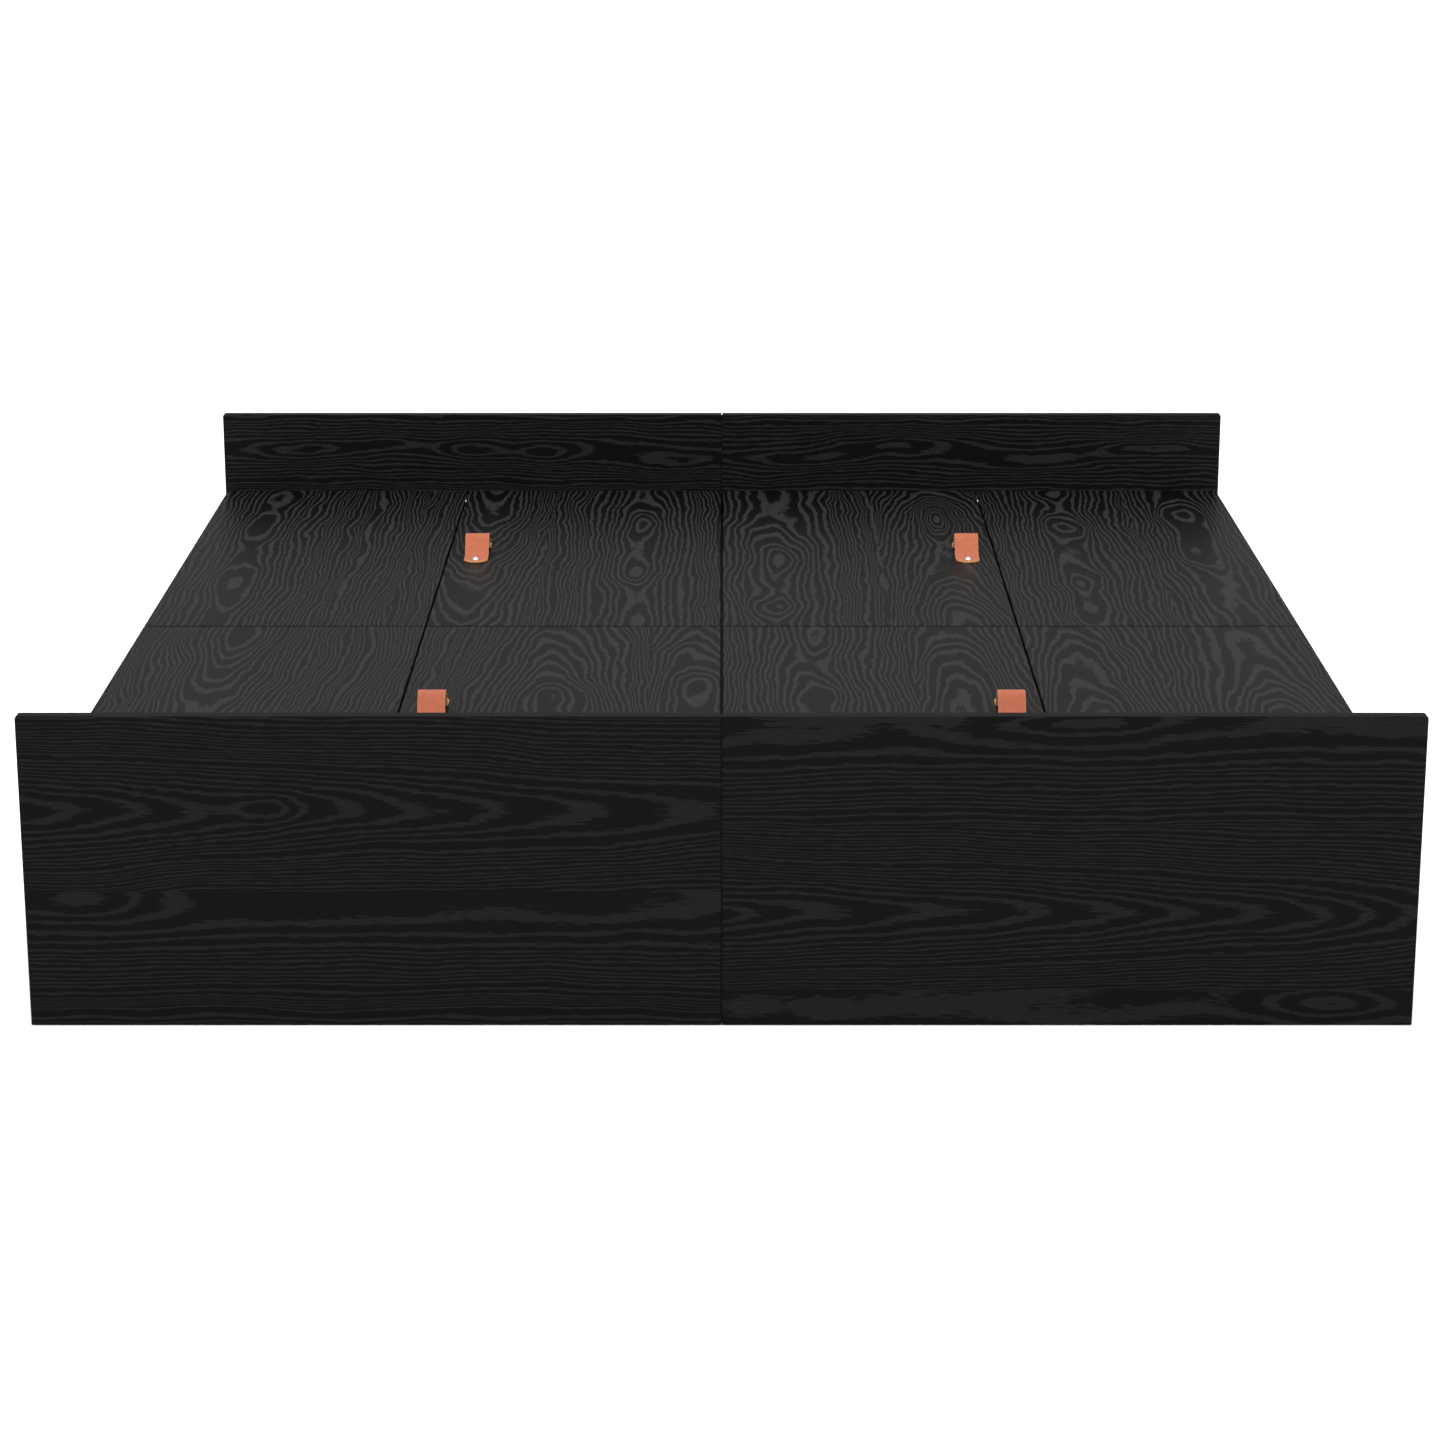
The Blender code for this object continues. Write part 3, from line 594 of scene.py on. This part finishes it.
def metal(name, low_shade, high_shade, rough_low, rough_high, patch):
    """Bare or plated metal: its shade and gloss vary over patches of that size."""
    made, tree = new_material(name)
    place = add(tree, "ShaderNodeTexCoord").outputs["Object"]
    cloud = add(tree, "ShaderNodeTexNoise", {"Vector": place, "Scale": 1 / patch, "Detail": 3.0})
    shade = {0: cloud, 6: linear(low_shade), 7: linear(high_shade)}
    shade = add(tree, "ShaderNodeMix", shade, data_type="RGBA")
    rough = add(tree, "ShaderNodeMapRange", {"Value": cloud, "To Min": rough_low, "To Max": rough_high})
    bump = add(tree, "ShaderNodeBump", {"Strength": 0.1, "Distance": 0.05 * MM, "Height": cloud})
    shader = add(tree, "ShaderNodeBsdfPrincipled", {
        "Base Color": shade.outputs[2], "Metallic": 1.0, "Roughness": rough, "Normal": bump})
    add(tree, "ShaderNodeOutputMaterial", {"Surface": shader})
    return made


def start_disc(name, centre, radius, depth, axis="Z", sides=32):
    """A short cylinder, its place in its mesh, left in edit mode."""
    turn = {"Z": (0, 0, 0), "X": (0, math.pi / 2, 0), "Y": (-math.pi / 2, 0, 0)}[axis]
    bpy.ops.mesh.primitive_cylinder_add(
        vertices=sides, radius=radius, depth=depth, location=centre, rotation=turn
    )
    bpy.context.object.name = name
    bpy.ops.object.transform_apply(location=True, rotation=True, scale=True)
    bpy.ops.object.mode_set(mode="EDIT")


nickel = metal("polished_nickel_plate", "#D8D6D2", "#F2F1EE", 0.08, 0.16, 2 * MM)
HEAD_RADIUS, HEAD_RISE, HEAD_RIM = 6.25 * MM, 4 * MM, 0.8 * MM
DOME_STEPS, DOME_TURN = 6, 12
start_disc("strap_screw", (0, 0, HEAD_RIM / 2), HEAD_RADIUS, HEAD_RIM, sides=40)
radius, level = HEAD_RADIUS, HEAD_RIM
for step in range(1, DOME_STEPS + 1):
    angle = math.radians(DOME_TURN * step)
    next_radius = HEAD_RADIUS * math.cos(angle)
    next_level = HEAD_RIM + (HEAD_RISE - HEAD_RIM) * math.sin(angle)
    pick("FACE", lambda f, m: f.normal.z > 0.99 and m.z > level - SAME)
    bpy.ops.mesh.inset(thickness=radius - next_radius, depth=next_level - level)
    radius, level = next_radius, next_level
strap_screw = leave(40)
SOCKET_RADIUS, SOCKET_DEPTH = 1.7 * MM, 2 * MM
start_disc("socket", (0, 0, HEAD_RISE), SOCKET_RADIUS, 2 * SOCKET_DEPTH, sides=6)
socket = leave()
cut = strap_screw.modifiers.new("socket", "BOOLEAN")
cut.operation, cut.object, cut.solver = "DIFFERENCE", socket, "EXACT"
bpy.context.view_layer.objects.active = strap_screw
bpy.ops.object.modifier_apply(modifier="socket")
bpy.data.objects.remove(socket)
strap_screw.data.materials.append(nickel)
SCREW_INSET, SCREW_SINK = 14 * MM, 0.1 * MM
for row, side in PLACES:
    for name, end in (("front", -1), ("rear", 1)):
        top = strap_tops[row, side] + Vector((0, end * (strap_span / 2 - SCREW_INSET), -SCREW_SINK))
        made = copy_to(strap_screw, f"strap_screw_{row}_{side}_{name}", top)
        fix(made, f"lid_{row}_{side}", "zinc_steel")
bpy.data.objects.remove(strap_screw)


# Lid hinges -----------------------------------------------------------------
# Cup hinges of zinc-plated pressed steel, a soft grey shine: the cup sits in the lid, and an arm on
# a mounting plate is screwed to the centre wall. The link between them is drawn as one bent strip
# that follows both.

steel = metal("zinc_plated_steel", "#8F9396", "#B9BDC0", 0.26, 0.42, 4 * MM)
for row, side in PLACES:
    for end in ("front", "rear"):
        clad(f"hinge_cup_{row}_{side}_{end}", steel)

GAP = 0.2 * MM  # keeps a piece off the board behind it, so that the two share no plane
_, hinge_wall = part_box("centre_wall_head")


def by_wall(out, along, drop):
    """A place on the centre wall's right face: out from it, along it and below its top, in millimetres."""
    return Vector((hinge_wall.x + GAP + out * MM, along * MM, hinge_wall.z - drop * MM))


def turned_head(name, centre, radius, height, axis, ends, rings, sides=20):
    """A screw head, axle or disc of zinc-plated steel, turned about the axis, its ends cut in rings.

    centre is a place in metres, the sizes are in millimetres. ends are -1, 1 or both, and each ring
    is (width, rise), from the rim inwards.
    """
    start_disc(name, centre, radius * MM, height * MM, axis, sides)
    pick("FACE", lambda f, m: any(end * f.normal["XYZ".index(axis)] > 0.9 for end in ends))
    for width, rise in rings:
        bpy.ops.mesh.inset(thickness=width * MM, depth=rise * MM)
    made = leave()
    made.data.materials.append(steel)
    return made


def join(pieces, name):
    """Makes one object of several."""
    bpy.ops.object.select_all(action="DESELECT")
    for piece in pieces:
        piece.select_set(True)
    bpy.context.view_layer.objects.active = pieces[0]
    bpy.ops.object.join()
    pieces[0].name = name
    pieces[0].select_set(False)
    return pieces[0]


# The mounting plate is a foot that narrows to a neck, and the arm over it has a pressed hollow.
start_box("mount_plate", by_wall(0, -17, 50), by_wall(2, 17, 30))
pick("FACE", lambda f, m: f.normal.z > 0.9)
bpy.ops.mesh.extrude_region_move(TRANSFORM_OT_translate={"value": (0, 0, 6 * MM)})
bpy.ops.transform.resize(value=(1, 0.42, 1))
bpy.ops.mesh.extrude_region_move(TRANSFORM_OT_translate={"value": (0, 0, 14 * MM)})
ease_edges(0.5 * MM)
plate = leave()
start_box("arm", by_wall(2, -6.5, 47), by_wall(7, 6.5, 16))
pick("FACE", lambda f, m: f.normal.z > 0.9)
bpy.ops.mesh.extrude_region_move(TRANSFORM_OT_translate={"value": (1.5 * MM, 0, 5 * MM)})
pick("FACE", lambda f, m: f.normal.x > 0.9)
bpy.ops.mesh.inset(thickness=1.6 * MM, depth=-0.9 * MM)
ease_edges(0.35 * MM)
arm = leave()
for piece in (plate, arm):
    piece.data.materials.append(steel)
screws = [turned_head("arm_screw", by_wall(7, 0, drop), 3, 1.6, "X", (1,), ((1.0, 0), (0.3, -0.7)))
          for drop in (40, 28)]
for along in (-12.5, 12.5):
    place = by_wall(2.3, along, 42)
    screws.append(turned_head("plate_screw", place, 2.9, 1.4, "X", (1,), ((0.9, 0.5), (0.9, -0.8))))
hinge_arm = join([plate, arm, *screws], "hinge_arm")

# The link leaves the arm upwards and bends over towards the cup. Each step draws out the end and the
# leaning face beside it, so the strip is thicker where it bends.
LINK_STEPS = ((1.0, 3.5), (1.5, 3.2), (2.0, 3.0), (2.6, 2.4), (3.0, 1.2))
LEANING, STEP_SHARE = 0.35, 0.8
start_box("hinge_link", by_wall(3.3, -5, 15), by_wall(5.7, 5, 13))
level = by_wall(4.5, 0, 13.8).z
for out, up in LINK_STEPS:
    pick("FACE", lambda f, m: f.normal.z > LEANING and m.z > level)
    bpy.ops.mesh.extrude_region_move(TRANSFORM_OT_translate={"value": (out * MM, 0, up * MM)})
    level += STEP_SHARE * up * MM
ease_edges(0.3 * MM)
hinge_link = leave()
hinge_link.data.materials.append(steel)

cup_screw = turned_head("cup_screw", (0, 0, 0), 3.6, 1.2, "Z", (-1,), ((1.0, 0.6), (1.0, -0.9)))
CUP_SCREW_REACH, CUP_SCREW_SINK = 24 * MM, 0.5 * MM

for row, side in PLACES:
    mirrored = side == "left"
    out = -1 if mirrored else 1
    for end in ("front", "rear"):
        place = f"{row}_{side}_{end}"
        low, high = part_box(f"hinge_cup_{place}")
        here = (low + high) / 2
        made = copy_to(hinge_arm, f"hinge_arm_{place}", (0, here.y, 0), mirrored)
        fix(made, "bed_frame", "zinc_steel")
        made = copy_to(hinge_link, f"hinge_link_{place}", (0, here.y, 0), mirrored)
        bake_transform(made)
        for name, way in (("near", -1), ("far", 1)):
            spot = (here.x, here.y + way * CUP_SCREW_REACH, low.z - CUP_SCREW_SINK)
            fix(copy_to(cup_screw, f"cup_screw_{place}_{name}", spot), f"lid_{row}_{side}", "zinc_steel")
for piece in (hinge_arm, hinge_link, cup_screw):
    bpy.data.objects.remove(piece)


# Cleats and cam fittings ----------------------------------------------------
# A fibreboard cleat on each board carries the ends of the lids. Zinc cam discs, let into the walls
# beside the boards, draw the frame together with their bolts.

CAM_LEVELS, CAM_INSET = (0.062, 0.150, 0.222), 34 * MM
CAM_RINGS = ((1.1, 0), (0.3, -0.4), (3.6, 0), (0.4, -0.6))
cam = turned_head("cam", (0, 0, 0), 7.5, 1.2, "X", (1,), CAM_RINGS, sides=28)
CLEAT_DEPTH, CLEAT_HEIGHT, CLEAT_SPARE = 18 * MM, 24 * MM, 6 * MM
CLEAT_SCREW_STEP, CLEAT_SCREW_OUT = 150 * MM, 0.4 * MM
cleat_screw = turned_head("cleat_screw", (0, 0, 0), 4, 1.4, "Y", (-1, 1), ((1.1, 0.4), (1.1, -0.9)))
for row, side in PLACES:
    out = -1 if side == "left" else 1
    _, wall_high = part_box(f"centre_wall_{row}")
    part_low, part_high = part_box(f"partition_{row}_{side}")
    near, far = wall_high.x, min(abs(part_low.x), abs(part_high.x))
    board_low, board_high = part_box(f"{row}board_{side}")
    way, board_face = (1, board_low.y) if row == "head" else (-1, board_high.y)

    xs = sorted((out * (near + CLEAT_SPARE), out * (far - CLEAT_SPARE)))
    ys = sorted((board_face - way * GAP, board_face - way * CLEAT_DEPTH))
    start_box(f"cleat_{row}_{side}", (xs[0], ys[0], wall_high.z - CLEAT_HEIGHT),
              (xs[1], ys[1], wall_high.z - GAP))
    ease_edges(1.2 * MM)
    fix(leave(), "bed_frame", "black_board", fibreboard)
    screw_y = board_face - way * (CLEAT_DEPTH + CLEAT_SCREW_OUT)
    screw_z = wall_high.z - CLEAT_HEIGHT / 2
    heads = [copy_to(cleat_screw, "head", (sum(xs) / 2 + step * CLEAT_SCREW_STEP, screw_y, screw_z))
             for step in (-1, 0, 1)]
    fix(join(heads, f"cleat_screws_{row}_{side}"), "bed_frame", "zinc_steel")

    discs = [copy_to(cam, "disc", (out * wall_x, board_face - way * CAM_INSET, level), faces != 1)
             for level in CAM_LEVELS for wall_x, faces in ((near, out), (far, -out))]
    fix(join(discs, f"cam_fittings_{row}_{side}"), "bed_frame", "zinc_steel")
for piece in (cam, cleat_screw):
    bpy.data.objects.remove(piece)


# Corner plates --------------------------------------------------------------
# By the headboard a thin steel plate stands in each joint between lid and fixed panel. It is let into
# the wall below and keeps the lid in line as it closes.

PLATE_HALF, PLATE_CORNER = 0.7 * MM, 4 * MM
PLATE_NEAR, PLATE_FAR = 26 * MM, 72 * MM  # from the headboard's face
PLATE_SUNK, PLATE_RAISED = 2.5 * MM, 0.1 * MM  # below the deck's top, and above the lid's underside
for side in SIDES:
    out = -1 if side == "left" else 1
    board_low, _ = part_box(f"headboard_{side}")
    lid_low, lid_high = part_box(f"lid_head_{side}")
    panel_low, panel_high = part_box(f"deck_panel_head_{side}")
    lid_edge = max(abs(lid_low.x), abs(lid_high.x))
    panel_edge = min(abs(panel_low.x), abs(panel_high.x))
    joint, top = out * (lid_edge + panel_edge) / 2, lid_high.z - PLATE_SUNK
    start_box(f"corner_plate_{side}", (joint - PLATE_HALF, board_low.y - PLATE_FAR, lid_low.z + PLATE_RAISED),
              (joint + PLATE_HALF, board_low.y - PLATE_NEAR, top))
    pick("EDGE", lambda e, m: m.z > top - SAME and abs(m.x - joint) < SAME)
    bpy.ops.mesh.bevel(offset=PLATE_CORNER, segments=4, affect="EDGES")
    pick("FACE", lambda f, m: f.normal.z > 0.9)
    bpy.ops.mesh.inset(thickness=0.25 * MM, depth=0.15 * MM)
    fix(leave(), "bed_frame", "zinc_steel", steel)


# Drawer runners -------------------------------------------------------------
# Roller runners: a channel on the wall, a flat pressed member on the drawer's side, and white nylon
# wheels, one on the member's rear end and one at the channel's mouth.

# Moulded nylon: an even, waxy off-white.
nylon, tree = new_material("white_nylon")
place = add(tree, "ShaderNodeTexCoord").outputs["Object"]
cloud = add(tree, "ShaderNodeTexNoise", {"Vector": place, "Scale": 300.0, "Detail": 2.0})
shade = add(tree, "ShaderNodeMix", {0: cloud, 6: linear("#C9C8C2"), 7: linear("#DEDDD8")}, data_type="RGBA")
bump = add(tree, "ShaderNodeBump", {"Strength": 0.1, "Distance": 0.05 * MM, "Height": cloud})
shader = add(tree, "ShaderNodeBsdfPrincipled", {
    "Base Color": shade.outputs[2], "Roughness": 0.42, "IOR": 1.53, "Normal": bump})
add(tree, "ShaderNodeOutputMaterial", {"Surface": shader})

WHEEL_RADIUS, WHEEL_WIDTH = 11.5 * MM, 6 * MM
start_disc("wheel", (0, 0, 0), WHEEL_RADIUS, WHEEL_WIDTH, axis="Y")
pick("EDGE", lambda e, m: abs(m.y) > WHEEL_WIDTH / 2 - 0.1 * MM)
bpy.ops.mesh.bevel(offset=0.8 * MM, segments=2, affect="EDGES")
for way in (-1, 1):
    pick("FACE", lambda f, m: f.normal.y * way > 0.9 and len(f.verts) > 8)
    for width, rise in ((2.2, -1.2), (4.0, 0), (0.4, 1.0)):
        bpy.ops.mesh.inset(thickness=width * MM, depth=rise * MM)
wheel = leave()
wheel.data.materials.append(nylon)
axle = turned_head("axle", (0, 0, 0), 2.5, 9, "Y", (-1, 1), ((0.6, 0.4),), sides=16)
box_screw = turned_head("box_screw", (0, 0, 0), 4, 1.2, "X", (-1, 1), ((1.1, 0.5), (1.1, -0.9)))

MEMBER_GAP, MEMBER_THICK = 0.1 * MM, 1.2 * MM
MEMBER_SHORT, MEMBER_LOW = 4 * MM, 3 * MM  # how far it stays inside the channel's ends and flanges
CHANNEL_THICK = 1.7 * MM
REAR_WHEEL, FRONT_WHEEL, WHEEL_INSIDE, AXLE_OUT = 20 * MM, 15 * MM, 4 * MM, 0.8 * MM
BOX_WALL, BOX_SCREW_OUT = 12 * MM, 0.4 * MM
BOX_SCREWS = [(along * MM, level) for along in (-380, -130, 130, 380) for level in (0.075, 0.140)]
for row, side in PLACES:
    drawer = f"drawer_{row}_{side}"
    out = -1 if side == "left" else 1
    box_low, box_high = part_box(f"drawer_box_{row}_{side}")
    for end in ("inner", "outer"):
        place = f"{row}_{side}_{end}"
        clad(f"runner_{place}", steel)
        low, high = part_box(f"runner_{place}")
        toward = box_low.y + box_high.y > low.y + high.y
        way, drawer_face, mouth = (1, box_low.y, high.y) if toward else (-1, box_high.y, low.y)
        ys = sorted((drawer_face - way * MEMBER_GAP, drawer_face - way * (MEMBER_GAP + MEMBER_THICK)))
        start_box(f"runner_member_{place}", (low.x + MEMBER_SHORT, ys[0], low.z + MEMBER_LOW),
                  (high.x - MEMBER_SHORT, ys[1], high.z - MEMBER_LOW))
        pick("FACE", lambda f, m: f.normal.y * way < -0.9)
        for width, rise in ((5, 0), (1.2, -0.6)):
            bpy.ops.mesh.inset(thickness=width * MM, depth=rise * MM)
        ease_edges(0.2 * MM)
        fix(leave(), drawer, "zinc_steel", steel)

        rear, front = low.x + REAR_WHEEL, high.x - FRONT_WHEEL
        if out < 0:
            rear, front = high.x - REAR_WHEEL, low.x + FRONT_WHEEL
        level = low.z + CHANNEL_THICK + WHEEL_RADIUS
        inside = mouth - way * WHEEL_INSIDE
        fix(copy_to(wheel, f"rear_wheel_{place}", (rear, inside, level)), drawer, "zinc_steel")
        fix(copy_to(axle, f"rear_axle_{place}", (rear, inside + way * AXLE_OUT, level)), drawer, "zinc_steel")
        fix(copy_to(wheel, f"front_wheel_{place}", (front, inside, level)), "bed_frame", "zinc_steel")
    inner_face = (box_high.x if out > 0 else box_low.x) - out * (BOX_WALL + BOX_SCREW_OUT)
    box_middle = (box_low.y + box_high.y) / 2
    heads = [copy_to(box_screw, "head", (inner_face, box_middle + along, level))
             for along, level in BOX_SCREWS]
    fix(join(heads, f"box_screws_{row}_{side}"), drawer, "zinc_steel")
for piece in (wheel, axle, box_screw):
    bpy.data.objects.remove(piece)
